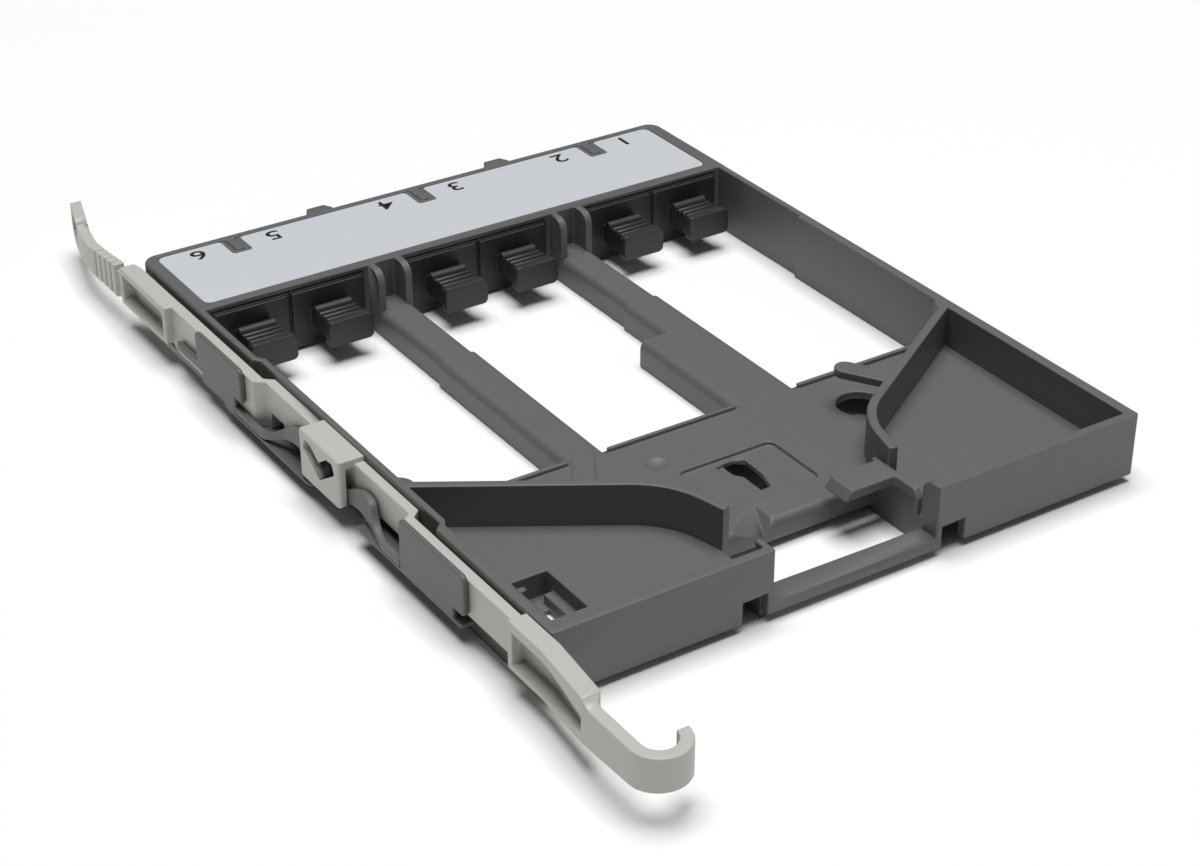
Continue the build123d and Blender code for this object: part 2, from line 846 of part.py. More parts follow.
block_inner = web_inner - fit
block_face = block_inner + rear_block_width
bend_out = (block_face + rear_block_lean, rear_block_y[1])
pocket_floor = block_face - block_pocket_depth
arm_outer = bend_out[0]
arm_inner = arm_outer - arm_width
hook_outer = hook_inner + arm_width
hook_centre = arm_outer - hook_outer
hook_end = hook_y + hook_outer

# Rear block, arm and hook: one top view, cut to one side view
with BuildPart() as rear_arm:
    with BuildSketch(Plane.XY) as rear_plan:
        with BuildLine():
            Polyline(
                (hook_centre + hook_inner, hook_y),
                (arm_inner, rear_block_y[1] + block_wall),
                (bend_out[0] - rear_block_width, rear_block_y[1]),
                (block_inner, rear_block_bend),
                (block_inner, rear_block_y[0]),
                (block_face, rear_block_y[0]),
                (block_face, rear_block_bend),
                bend_out,
                (arm_outer, hook_y),
            )
            CenterArc((hook_centre, hook_y), hook_outer, 0, 180)
            Line((hook_centre - hook_outer, hook_y), (hook_centre - hook_inner, hook_y))
            CenterArc((hook_centre, hook_y), hook_inner, 0, 180)
        make_face()
    extrude(amount=tray_height)
    with BuildSketch(Plane.YZ.offset(hook_centre - hook_outer - 1)) as rear_side:
        with BuildLine():
            Polyline(
                (rear_block_y[0], tray_height),
                (rear_block_y[0], rear_block_bottom),
                (rear_block_bend, rear_block_bottom),
                (hook_end, arm_bottom),
                (hook_end, arm_top),
                (rear_block_y[1] + 2 * arm_drop, arm_top),
            )
            RadiusArc((rear_block_y[1] + 2 * arm_drop, arm_top), (rear_block_y[1], tray_height), 2.6 * arm_drop)
            Line((rear_block_y[1], tray_height), (rear_block_y[0], tray_height))
        make_face()
    extrude(amount=2 * hook_outer + rear_block_lean + 2, mode=Mode.INTERSECT)
    # Pocket: follows the bend, and narrows towards the arm
    pocket_side = outline(
        [
            (rear_block_y[0] + block_wall, rear_block_bottom + block_wall),
            (rear_block_y[0] + block_wall, tray_height - 1.6 * block_wall),
            (rear_block_bend + 2 * block_wall, tray_height - 1.6 * block_wall),
            (rear_block_y[1] - fit, arm_top - 2 * block_wall),
            (rear_block_y[1] - fit, arm_bottom + block_wall),
            (rear_block_bend + 2 * block_wall, rear_block_bottom + block_wall),
        ],
        Plane.YZ.offset(pocket_floor),
    )
    pocket_plan = outline(
        [
            (pocket_floor, rear_block_y[0]),
            (arm_outer + 1, rear_block_y[0]),
            (arm_outer + 1, rear_block_y[1]),
            (arm_outer - arm_width / 2, rear_block_y[1]),
            (pocket_floor, rear_block_bend + block_wall),
        ],
        Plane.XY,
    )
    pocket = extrude(pocket_side, amount=arm_width + rear_block_lean + 1, mode=Mode.PRIVATE)
    pocket = pocket & extrude(pocket_plan, amount=tray_height, mode=Mode.PRIVATE)
    add(pocket, mode=Mode.SUBTRACT)

# Bridge over the latch spring, with the heart-shaped cam window
with BuildPart() as bridge:
    bridge_side = outline(
        [
            (bridge_y[0], bridge_bottom),
            (bridge_y[1], bridge_bottom),
            (bridge_y[1], tray_height),
            (bridge_y[0], tray_height),
        ],
        Plane.YZ.offset(web_middle_inner),
        rounded=[1],
        radius=bridge_corner,
    )
    extrude(bridge_side, amount=bridge_outer - web_middle_inner)
    fillet(bridge.faces().sort_by(Axis.X)[-1].edges(), bridge_round)
    block(
        (web_middle_inner - 1, bridge_inner),
        (bridge_y[0] - 1, bridge_y[1] + 1),
        (bridge_bottom - 1, tray_height - bridge_roof),
        mode=Mode.SUBTRACT,
    )
    with BuildSketch(Plane.YZ.offset(bridge_inner - fit)) as heart:
        with BuildLine():
            Polyline(
                (heart_y, heart_vertex),
                (heart_y + heart_width / 2, heart_shoulder),
                (heart_y + heart_width / 2 - 0.6, heart_top),
                (heart_y + heart_width / 4, heart_top - 0.2),
                (heart_y, heart_cusp),
                (heart_y - heart_width / 4, heart_top - 0.2),
                (heart_y - heart_width / 2 + 0.6, heart_top),
                (heart_y - heart_width / 2, heart_shoulder),
                close=True,
            )
        make_face()
        fillet(heart.vertices(), corner_round)
    extrude(amount=bridge_plate + 2 * fit, mode=Mode.SUBTRACT)

# Tip of the pull tab: a strip that bends inwards to a thicker head with a shallow pocket
tab_outer = block_outer - fit
rib_start = block_front[0] - 1.9
strip_start = rib_start - tab_ribs * tab_rib_pitch
bend_x = tab_outer - tab_width / 2 - tab_bend[0]
with BuildPart() as tab_tip:
    with BuildSketch(Plane.XY) as strip:
        with BuildLine() as strip_line:
            Spline(
                (tab_outer - tab_width / 2, strip_start + 0.3),
                (bend_x, tab_bend[1]),
                tab_end,
                tangents=[(0, -1), (-0.3, -1)],
            )
        trace(strip_line.line, line_width=tab_width)
    extrude(amount=tray_height)
    with BuildSketch(Plane.YZ.offset(tab_end[0] - tab_width)) as strip_side:
        with BuildLine():
            Polyline(
                (tab_bend[1] - 0.2, tab_top),
                (strip_start + 1, tab_top),
                (strip_start + 1, tab_bottom),
                (tab_bend[1] + 4, tab_bottom),
            )
            Spline(
                (tab_bend[1] + 4, tab_bottom),
                (tab_bend[1] - 4, tab_bottom - 0.6),
                (tab_end[1] - 0.1, tab_bottom + 2.2),
                tangents=[(-1, 0), (0, 1)],
            )
            Line((tab_end[1] - 0.1, tab_bottom + 2.2), (tab_end[1] - 0.1, tab_head_top - 0.8))
            ThreePointArc(
                (tab_end[1] - 0.1, tab_head_top - 0.8),
                (tab_end[1] + 0.1, tab_head_top - 0.2),
                (tab_end[1] + 0.7, tab_head_top),
            )
            Line((tab_end[1] + 0.7, tab_head_top), (tab_bend[1] - 1.7, tab_head_top))
            ThreePointArc(
                (tab_bend[1] - 1.7, tab_head_top),
                (tab_bend[1] - 0.6, tab_head_top - 0.3),
                (tab_bend[1] - 0.2, tab_top),
            )
        make_face()
    extrude(amount=tab_outer - tab_end[0] + 2 * tab_width, mode=Mode.INTERSECT)
    head_pocket = outline(
        [
            (bend_x + 0.1, tab_bend[1] - 1.0),
            (bend_x + 3, tab_bend[1] - 1.0),
            (bend_x + 3, tab_end[1] + 1.2),
            (tab_end[0] + 0.55, tab_end[1] + 1.2),
        ],
        Plane.XY.offset(tab_bottom + 0.9),
    )
    extrude(head_pocket, amount=tab_head_top - tab_bottom - 2.2, mode=Mode.SUBTRACT)

with BuildPart() as latch_bar:
    # Front block with its open pocket
    front_block = outline(
        [
            (web_inner, block_front[1]),
            (block_outer, block_front[1]),
            (block_outer, block_front[0]),
            (web_inner + 0.4, block_front[0]),
            (web_inner, block_front[0] + 2.0),
        ],
        Plane.XY.offset(block_bottom),
    )
    extrude(front_block, amount=block_top - block_bottom)
    fillet(latch_bar.edges(), block_round)
    block(
        (block_outer - block_pocket_depth, block_outer + 1),
        (block_front[0] + block_wall, block_front[1] - block_wall),
        (block_bottom + block_wall, block_top - block_wall - 0.2),
        mode=Mode.SUBTRACT,
    )

    # Web in three stretches, set in by the two jogs
    web = outline(
        [
            (web_inner, block_front[1] - 1),
            (web_outer, block_front[1] - 1),
            (web_outer, bar_jog_front - jog_length),
            (web_middle_outer, bar_jog_front),
            (web_middle_outer, bar_jog_rear),
            (web_outer, bar_jog_rear + jog_length),
            (web_outer, rear_block_y[0] + 1),
            (web_inner, rear_block_y[0] + 1),
            (web_inner, bar_jog_rear + jog_length),
            (web_middle_inner, bar_jog_rear),
            (web_middle_inner, bar_jog_front),
            (web_inner, bar_jog_front - jog_length),
        ],
        Plane.XY,
    )
    web_side = outline(
        [
            (block_front[1] - 1, bar_bottom_front + 1.5),
            (block_front[1] + 1, bar_bottom_front),
            (bar_jog_front + 1, bar_bottom_front),
            (bar_jog_front + 1, bar_bottom_middle + 0.6),
            (bar_jog_front + 5, bar_bottom_middle + 0.6),
            (bar_jog_front + 5, bar_bottom_middle),
            (bar_jog_rear, bar_bottom_middle),
            (bar_jog_rear + jog_length, bar_bottom_rear),
            (rear_block_y[0] + 2, bar_bottom_rear),
            (rear_block_y[0] + 2, bar_top),
            (block_front[1] - 1, bar_top),
        ],
        Plane.YZ.offset(web_middle_inner - 1),
    )
    web_body = extrude(web, amount=tray_height, mode=Mode.PRIVATE)
    web_body = web_body & extrude(web_side, amount=guard_outer - web_middle_inner + 2, mode=Mode.PRIVATE)
    add(web_body)
    add(bridge.part)
    add(rear_arm.part)

    # Pull tab: grip ribs, then the strip to the tip
    block(
        (tab_outer - tab_width, tab_outer + tab_core - tab_width),
        (strip_start, block_front[0] + 0.5),
        (tab_bottom, tab_top),
    )
    for index in range(tab_ribs):
        middle = rib_start - (index + 0.5) * tab_rib_pitch
        block(
            (tab_outer - tab_width, tab_outer),
            (middle - tab_rib_width / 2, middle + tab_rib_width / 2),
            (tab_bottom - fit, rib_top(index)),
        )
    add(tab_tip.part)
latch_bar.part.label = "latch_bar"
export_step(latch_bar.part, "parts/latch_bar.step")


# Adapters: an open housing with a keyed port at each end, a hook insert in its middle
def port_face(plane, centre, grow=0.0):
    """Keyed port outline: a rectangle with the key slot on top."""
    with BuildSketch(plane) as face:
        with Locations((centre, port_centre_z)):
            Rectangle(port_width + grow, port_height + grow)
        with Locations((centre, port_centre_z + port_height / 2)):
            Rectangle(key_width + grow, 2 * key_depth + grow)
    return face.sketch


def hook_arm(centre, side, end):
    """One hook: a flat arm from the middle wall with a barb at its tip."""
    tip = adapter_middle + end * hook_reach
    outer = port_width / 2 - hook_gap
    inner = outer - hook_thick
    face = outline(
        [
            (centre + side * outer, adapter_middle),
            (centre + side * outer, tip),
            (centre + side * (inner - hook_barb), tip - end * hook_barb),
            (centre + side * (inner - hook_barb), tip - end * (hook_barb + hook_thick)),
            (centre + side * inner, tip - end * (hook_barb + hook_thick)),
            (centre + side * inner, adapter_middle),
        ],
        Plane.XY.offset(port_centre_z - hook_height / 2),
    )
    extrude(face, amount=hook_height)


for index, centre in enumerate(adapter_centres, start=1):
    with BuildPart() as adapter:
        block(
            (centre - adapter_width / 2, centre + adapter_width / 2),
            (adapter_front, adapter_rear),
            (bay_floor, bay_floor + adapter_height),
        )
        extrude(
            port_face(Plane.XZ.offset(-adapter_rear - 1), centre),
            amount=adapter_length + 2,
            mode=Mode.SUBTRACT,
        )
    adapter.part.label = f"adapter_{index}"
    export_step(adapter.part, f"parts/adapter_{index}.step")

    with BuildPart() as hooks:
        with BuildSketch(Plane.XZ.offset(-adapter_middle - hook_wall / 2)) as wall:
            with Locations((centre, port_centre_z)):
                Rectangle(port_width - fit, port_height - fit)
                Rectangle(*ferrule_window, mode=Mode.SUBTRACT)
        extrude(amount=hook_wall)
        for side in (-1, 1):
            for end in (-1, 1):
                hook_arm(centre, side, end)
    hooks.part.label = f"adapter_hooks_{index}"
    export_step(hooks.part, f"parts/adapter_hooks_{index}.step")

    # Rear dust plug: insert in the port, flange, ribbed neck and wide pull block
    with BuildPart() as plug:
        extrude(
            port_face(Plane.XZ.offset(-adapter_rear), centre, grow=-2 * fit),
            amount=3.0,
        )
        with BuildSketch(Plane.XZ.offset(-adapter_rear - plug_flange)) as flange:
            with Locations((centre, port_centre_z)):
                RectangleRounded(
                    adapter_width - 2 * plug_margin,
                    adapter_height - 2 * plug_margin,
                    corner_round,
                )
        extrude(amount=plug_flange)
        neck_end = adapter_rear + plug_reach - plug_block_thick
        with BuildSketch(Plane.YZ.offset(centre - plug_neck / 2)) as neck:
            with BuildLine():
                Polyline(
                    (adapter_rear + fit, plug_low + 0.5),
                    (neck_end + fit, plug_low + 0.5),
                    (neck_end + fit, plug_neck_top),
                    (adapter_rear + fit, plug_neck_top),
                    close=True,
                )
            make_face()
            with Locations((adapter_rear + plug_ridge[0], plug_neck_top)):
                Circle(plug_ridge[1])
            with Locations([(adapter_rear + along, plug_neck_top) for along in plug_ribs]):
                Circle(plug_rib_radius)
        extrude(amount=plug_neck)
        with BuildSketch(Plane.XZ.offset(-adapter_rear - plug_reach)) as pull:
            with Locations((centre, (plug_low + plug_high) / 2)):
                RectangleRounded(plug_block, plug_high - plug_low, 2 * corner_round)
        extrude(amount=plug_block_thick)
    plug.part.label = f"rear_plug_{index}"
    export_step(plug.part, f"parts/rear_plug_{index}.step")
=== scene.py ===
"""Looks of an adapter pack: a moulded tray, its fibre adapters, dust plugs, label and release bar.

The packed model gives every place and size. This script rounds the moulded edges, gives each
piece its plastic, prints the port numbers, and sets up the floor, the light and the camera.
"""

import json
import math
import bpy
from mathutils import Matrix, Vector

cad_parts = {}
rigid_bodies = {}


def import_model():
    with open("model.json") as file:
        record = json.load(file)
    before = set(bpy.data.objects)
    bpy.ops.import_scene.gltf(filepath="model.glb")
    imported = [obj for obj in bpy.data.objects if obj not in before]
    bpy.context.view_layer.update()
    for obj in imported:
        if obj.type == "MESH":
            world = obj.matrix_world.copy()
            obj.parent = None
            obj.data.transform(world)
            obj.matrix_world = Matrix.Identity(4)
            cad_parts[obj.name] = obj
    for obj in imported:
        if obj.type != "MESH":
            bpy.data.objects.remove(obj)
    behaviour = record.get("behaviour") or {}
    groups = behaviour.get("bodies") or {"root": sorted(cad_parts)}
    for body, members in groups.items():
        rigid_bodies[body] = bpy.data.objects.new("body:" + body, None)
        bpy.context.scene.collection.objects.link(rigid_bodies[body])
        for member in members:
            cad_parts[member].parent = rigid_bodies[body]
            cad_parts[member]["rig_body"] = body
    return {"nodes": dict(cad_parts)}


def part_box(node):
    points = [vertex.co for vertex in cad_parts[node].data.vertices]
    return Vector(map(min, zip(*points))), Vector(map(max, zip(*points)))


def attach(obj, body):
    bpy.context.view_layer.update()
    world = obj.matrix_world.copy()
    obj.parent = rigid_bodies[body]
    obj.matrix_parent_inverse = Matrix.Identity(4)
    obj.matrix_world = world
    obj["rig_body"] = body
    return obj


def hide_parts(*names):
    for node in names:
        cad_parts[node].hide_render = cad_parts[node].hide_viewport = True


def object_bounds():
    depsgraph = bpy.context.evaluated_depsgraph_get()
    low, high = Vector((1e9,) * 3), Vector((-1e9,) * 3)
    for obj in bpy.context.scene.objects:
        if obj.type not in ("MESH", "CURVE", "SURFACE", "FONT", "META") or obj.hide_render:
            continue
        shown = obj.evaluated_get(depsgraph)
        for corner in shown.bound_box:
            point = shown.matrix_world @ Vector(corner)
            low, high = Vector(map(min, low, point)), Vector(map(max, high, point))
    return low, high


bl_info = {
    "name": "Adapter pack",
    "version": (1, 0, 0),
    "blender": (4, 5, 0),
    "location": "View3D > Sidebar > Adapter pack",
    "description": "Dresses the packed adapter pack for a studio picture",
    "category": "Object",
}

from itertools import chain, permutations

import bmesh
import bpy
import numpy as np
from mathutils import Matrix, Vector
from mathutils.bvhtree import BVHTree
from mathutils.geometry import delaunay_2d_cdt, intersect_point_line
from mathutils.kdtree import KDTree

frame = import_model()
CAD_BOX = [list(corner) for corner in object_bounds()]
MM = 0.001
PORT_COUNT = 6


def linear(hex_colour):
    """Linear RGBA of an sRGB hex colour.

    A channel c becomes ((c + 0.055) / 1.055) to the power 2.4, and a very dark one c / 12.92.
    """
    channels = [int(hex_colour[i:i + 2], 16) / 255 for i in (1, 3, 5)]
    return tuple(
        c / 12.92 if c <= 0.04045 else ((c + 0.055) / 1.055) ** 2.4 for c in channels
    ) + (1.0,)


# Settings


class TraySettings(bpy.types.PropertyGroup):
    """Moulded tray and its latch spring."""

    colour: bpy.props.FloatVectorProperty(
        name="Colour", description="Dark grey of the tray's plastic",
        subtype="COLOR", size=4, min=0, max=1, default=linear("#626161"),
    )
    edge_radius: bpy.props.FloatProperty(
        name="Edge radius", description="Radius of the mould's edges, in millimetres",
        default=0.22, min=0.02, max=0.5,
    )


class BarSettings(bpy.types.PropertyGroup):
    """Release bar."""

    colour: bpy.props.FloatVectorProperty(
        name="Colour", description="Light grey of the release bar",
        subtype="COLOR", size=4, min=0, max=1, default=linear("#babbb5"),
    )
    edge_radius: bpy.props.FloatProperty(
        name="Edge radius", description="Radius of the bar's edges, in millimetres",
        default=0.2, min=0.02, max=0.5,
    )


class PortSettings(bpy.types.PropertyGroup):
    """Adapters, their hooks and the dust plugs."""

    adapter_colour: bpy.props.FloatVectorProperty(
        name="Adapter colour", description="Near-black of the adapter housings",
        subtype="COLOR", size=4, min=0, max=1, default=linear("#2a2a2b"),
    )
    plug_colour: bpy.props.FloatVectorProperty(
        name="Plug colour", description="Near-black of the dust plugs",
        subtype="COLOR", size=4, min=0, max=1, default=linear("#28282a"),
    )
    edge_radius: bpy.props.FloatProperty(
        name="Edge radius", description="Radius of their edges, in millimetres",
        default=0.18, min=0.02, max=0.4,
    )


class LabelSettings(bpy.types.PropertyGroup):
    """Label and the port numbers on it."""

    colour: bpy.props.FloatVectorProperty(
        name="Colour", description="Pale cool grey of the label",
        subtype="COLOR", size=4, min=0, max=1, default=linear("#c6c9ce"),
    )
    ink: bpy.props.FloatVectorProperty(
        name="Ink", description="Black of the printed numbers",
        subtype="COLOR", size=4, min=0, max=1, default=linear("#1b1b1d"),
    )
    digit_height: bpy.props.FloatProperty(
        name="Digit height", description="Height of a port number, in millimetres",
        default=3.0, min=0.5, max=4,
    )
    digit_row: bpy.props.FloatProperty(
        name="Digit row",
        description="Way from the label's front edge to the middle of the digits, in millimetres",
        default=2.3, min=1, max=8,
    )


class StageSettings(bpy.types.PropertyGroup):
    """Floor, lamps and camera."""

    floor_colour: bpy.props.FloatVectorProperty(
        name="Floor colour", description="Pale floor",
        subtype="COLOR", size=4, min=0, max=1, default=linear("#f4f4f4"),
    )
    lens: bpy.props.FloatProperty(
        name="Lens", description="Focal length of the camera, in millimetres",
        default=74.93, min=20, max=200,
    )
    key_power: bpy.props.FloatProperty(
        name="Key power", description="Power of the overhead softbox, in watts",
        default=38.0, min=0, max=200,
    )
    side_power: bpy.props.FloatProperty(
        name="Side power", description="Power of the softbox at the rear side, in watts",
        default=0.3, min=0, max=50,
    )
    fill: bpy.props.FloatProperty(
        name="Fill", description="Strength of the light from all round",
        default=0.06, min=0, max=3,
    )


# Materials

PLASTIC_IOR = 1.55
MIX_COLOURS = (6, 7)  # places of a mix node's two colours, whose names other inputs share
MIX_COLOUR_RESULT = 2


def set_inputs(tree, node, **inputs):
    """Links or sets a node's named inputs. An underscore stands for the space in a name."""
    for name, value in inputs.items():
        socket = node.inputs[name.replace("_", " ")]
        if isinstance(value, bpy.types.NodeSocket):
            tree.links.new(value, socket)
        else:
            socket.default_value = value


def add_node(tree, kind, settings=None, **inputs):
    """Adds a node, sets its properties, then links or sets its named inputs."""
    made = tree.nodes.new(kind)
    for name, value in (settings or {}).items():
        setattr(made, name, value)
    set_inputs(tree, made, **inputs)
    return made


def shader(name):
    """A new material, with its node tree and its principled shader."""
    made = bpy.data.materials.new(name)
    made.use_nodes = True
    tree = made.node_tree
    principled = next(node for node in tree.nodes if node.type == "BSDF_PRINCIPLED")
    return made, tree, principled


def drifting_shade(tree, place, colour, change, spacing_mm, detail, roughness=0.5):
    """A colour that drifts with a soft noise, from (1 - change) to (1 + change) times itself."""
    cloud = add_node(
        tree, "ShaderNodeTexNoise",
        Vector=place, Scale=1 / (spacing_mm * MM), Detail=detail, Roughness=roughness,
    )
    shade = add_node(tree, "ShaderNodeMix", {"data_type": "RGBA"}, Factor=cloud.outputs["Fac"])
    for socket, scale in zip(MIX_COLOURS, (1 - change, 1 + change)):
        shade.inputs[socket].default_value = [min(1.0, c * scale) for c in colour[:3]] + [1.0]
    return shade.outputs[MIX_COLOUR_RESULT]


def moulded_plastic(name, colour, grain_mm, depth_mm, roughness, mottle):
    """Injection-moulded plastic with a spark-eroded texture.

    The erosion leaves fine even pits, which blur its gloss. Grain is the pits' spacing. The
    real one is near 0.1 mm, too fine to show, so it is drawn a few times coarser. Mottle is the
    slight change of shade over some centimetres, from the flow of the melt.
    """
    made, tree, principled = shader(name)
    place = add_node(tree, "ShaderNodeTexCoord").outputs["Object"]
    shade = drifting_shade(
        tree, place, colour, mottle, spacing_mm=14, detail=2.0, roughness=0.6
    )
    pits = add_node(
        tree, "ShaderNodeTexNoise",
        Vector=place, Scale=1 / (grain_mm * MM), Detail=3.0, Roughness=0.65,
    ).outputs["Fac"]
    blur = add_node(
        tree, "ShaderNodeMapRange",
        Value=pits, From_Min=0.3, From_Max=0.7, To_Min=roughness - 0.05, To_Max=roughness + 0.06,
    )
    bump = add_node(
        tree, "ShaderNodeBump", Height=pits, Strength=0.35, Distance=depth_mm * MM
    )
    set_inputs(
        tree, principled,
        Base_Color=shade, Roughness=blur.outputs["Result"], Normal=bump.outputs["Normal"],
        IOR=PLASTIC_IOR,
    )
    return made


def coated_label_film(name, colour):
    """Printable polyester film: smooth, with a faint satin sheen and a hint of paper-like tooth."""
    made, tree, principled = shader(name)
    place = add_node(tree, "ShaderNodeTexCoord").outputs["Object"]
    shade = drifting_shade(tree, place, colour, change=0.015, spacing_mm=9, detail=1.0)
    tooth = add_node(
        tree, "ShaderNodeTexNoise", Vector=place, Scale=1 / (0.5 * MM), Detail=2.0
    )
    bump = add_node(
        tree, "ShaderNodeBump", Height=tooth.outputs["Fac"], Strength=0.08, Distance=0.01 * MM
    )
    set_inputs(
        tree, principled, Base_Color=shade, Roughness=0.42, Normal=bump.outputs["Normal"]
    )
    return made


def printed_ink(name, colour):
    """Thermal-transfer print: a thin dense black film whose gloss is uneven in fine specks."""
    made, tree, principled = shader(name)
    place = add_node(tree, "ShaderNodeTexCoord").outputs["Object"]
    specks = add_node(
        tree, "ShaderNodeTexNoise", Vector=place, Scale=1 / (0.3 * MM), Detail=2.0
    )
    gloss = add_node(
        tree, "ShaderNodeMapRange", Value=specks.outputs["Fac"], To_Min=0.35, To_Max=0.6
    )
    set_inputs(tree, principled, Base_Color=colour, Roughness=gloss.outputs["Result"])
    return made


def painted_board(name, colour):
    """Board under matt paint: even, with hardly any sheen."""
    made, tree, principled = shader(name)
    set_inputs(tree, principled, Base_Color=colour, Roughness=0.9, Specular_IOR_Level=0.1)
    return made


# Rounding of the solids

SAME_POINT = 0.002 * MM
SAME_PLANE = math.radians(0.6)
SHARP_TURN = math.radians(25)  # an edge that turns by more gets a round
SMOOTH_TURN = math.radians(12)  # an edge without a round that turns by less is shaded smooth
LINE_BEND = math.radians(30)  # sharp edges that bend by less run on as one line
SLIGHT_BEND = (math.radians(1), math.radians(60))  # between these, two lines share their room
ROUND_SEGMENTS = 2
FACING = -0.2  # two edges face each other if the dot product of their inward ways is less
SHARE_TO_ROUND = 0.42  # of the way to a facing edge that gets a round too
SHARE_TO_EDGE = 0.8  # of the way to a facing edge that stays as it is
SEARCH_SHARE = 0.3  # less than both shares, so that the search finds every edge that matters
LENGTH_SHARE = 0.9  # of an edge's length, for the rounds at its two ends
LEAST_SINE = 0.1
LEAST_WEIGHT = 0.1
STRAY_SHARE = 0.45  # of the radius; a point of a true round lies nearer to the solid than this
LARGEST_FIRST = 100  # weight with which the largest face at a point sets the point's normal


def sharp_lines(work):
    """Groups the sharp edges into lines, each running on while it bends only a little."""
    sharp = {e for e in work.edges if e.is_manifold and e.calc_face_angle() > SHARP_TURN}
    line_of = {}
    lines = []
    for seed in work.edges:
        if seed not in sharp or seed in line_of:
            continue
        line, open_edges = [], [seed]
        line_of[seed] = len(lines)
        while open_edges:
            here = open_edges.pop()
            line.append(here)
            for vert in here.verts:
                onward = [e for e in vert.link_edges if e in sharp and e is not here]
                if len(onward) != 1 or onward[0] in line_of:
                    continue
                way_in = vert.co - here.other_vert(vert).co
                way_out = onward[0].other_vert(vert).co - vert.co
                if way_in.angle(way_out, 0.0) < LINE_BEND:
                    line_of[onward[0]] = len(lines)
                    open_edges.append(onward[0])
        lines.append(line)
    return lines


def shrink_at(loop, near, line_of):
    """How much an edge loses at its corner with the edge near, per width of the rounds.

    Between two rounds that is the tangent of half the turn. An edge that only ends at a round
    loses one over the sine of the turn.
    """
    corner = loop if near is loop.link_loop_prev.edge else loop.link_loop_next
    if near not in line_of or not corner.is_convex:
        return 0.0
    turn = math.pi - corner.calc_angle()
    return math.tan(turn / 2) if loop.edge in line_of else 1 / max(math.sin(turn), LEAST_SINE)


def corner_rooms(face, line_of):
    """Yields each sharp edge of a face with the room that the lengths of the edges leave."""
    for loop in face.loops:
        beside = (loop.link_loop_prev.edge, loop.link_loop_next.edge)
        shrink = sum(shrink_at(loop, near, line_of) for near in beside)
        for edge in (loop.edge, *beside):
            if shrink and edge in line_of:
                yield edge, LENGTH_SHARE * loop.edge.calc_length() / shrink


def facing_rooms(face, line_of, radius):
    """Yields each sharp edge of a face with the room that the edges facing it leave.

    The edges are sampled at steps of at most the radius. From each sample of a sharp edge, the
    nearest place on every facing edge close by is found. The room is a share of that distance.
    """
    points, owner, inward = [], [], {}
    for loop in face.loops:
        start, end = loop.vert.co, loop.link_loop_next.vert.co
        inward[loop] = face.normal.cross(end - start).normalized()
        steps = max(1, math.ceil((end - start).length / radius))
        for step in range(steps + 1):
            points.append(start.lerp(end, step / steps))
            owner.append(loop)
    tree = KDTree(len(points))
    for index, point in enumerate(points):
        tree.insert(point, index)
    tree.balance()
    for point, mine in zip(points, owner):
        if mine.edge not in line_of:
            continue
        for other in {owner[i] for _, i, _ in tree.find_range(point, radius / SEARCH_SHARE)}:
            touching = set(mine.edge.verts) & set(other.edge.verts)
            if touching or inward[mine].dot(inward[other]) > FACING:
                continue
            start, end = (vert.co for vert in other.edge.verts)
            _, along = intersect_point_line(point, start, end)
            place = start.lerp(end, min(1.0, max(0.0, along)))
            if (place - point).dot(inward[mine]) > 0:
                share = SHARE_TO_ROUND if other.edge in line_of else SHARE_TO_EDGE
                yield mine.edge, (place - point).length * share


def slight_bends(work, line_of):
    """Pairs of lines that run on into each other with a slight bend."""
    least, most = SLIGHT_BEND
    pairs = set()
    for vert in work.verts:
        here = [edge for edge in vert.link_edges if edge in line_of]
        for first, second in permutations(here, 2):
            way_in = vert.co - first.other_vert(vert).co
            way_out = second.other_vert(vert).co - vert.co
            if least < way_in.angle(way_out, 0.0) < most:
                pairs.add((line_of[first], line_of[second]))
    return pairs


def weigh_edges(work, radius):
    """Sets each sharp edge's bevel weight, so that no two rounds run into each other.

    A line of edges gets the smallest room that any of its edges has in any face, and the radius
    at most. Two lines that meet with a slight bend share the smaller room, as offsets that
    differ would cross far out. The weight is the room divided by the radius, and a line with
    hardly any room stays sharp.
    """
    layer = work.edges.layers.float.new("bevel_weight_edge")
    lines = sharp_lines(work)
    line_of = {edge: index for index, line in enumerate(lines) for edge in line}
    room = [radius] * len(lines)
    for face in work.faces:
        if line_of.keys().isdisjoint(face.edges):
            continue
        for edge, width in chain(
            corner_rooms(face, line_of), facing_rooms(face, line_of, radius)
        ):
            room[line_of[edge]] = min(room[line_of[edge]], width)
    bends = slight_bends(work, line_of)
    for _ in bends:
        for mine, other in bends:
            room[mine] = room[other] = min(room[mine], room[other])
    for edge in work.edges:
        weight = room[line_of[edge]] / radius if edge in line_of else 0.0
        rounded = weight > LEAST_WEIGHT
        edge[layer] = weight if rounded else 0.0
        edge.smooth = rounded or not edge.is_manifold or edge.calc_face_angle() < SMOOTH_TURN


def settle_strays(work, skin, reach):
    """Moves each point that the rounding threw off the solid's skin back onto it."""
    for vert in work.verts:
        place, _, _, distance = skin.find_nearest(vert.co)
        if distance > reach:
            vert.co = place


# Flat faces of the rounded solids

FLAT_TURN = math.radians(0.3)
LARGEST_CUT = 4  # corners that a face may have and still be cut rightly by the renderer
INSIDE_EDGES = 1  # kind of triangulation that leaves out what lies outside all edges
SAME_PLACE = 1e-5  # in the plane's millimetres


def flat_region(seed):
    """The faces joined to a face that lie in its plane, in the order in which they are met."""
    region, known = [seed], {seed}
    for face in region:
        for edge in face.edges:
            for near in edge.link_faces:
                if near not in known and near.normal.angle(seed.normal, 1.0) < FLAT_TURN:
                    known.add(near)
                    region.append(near)
    return region


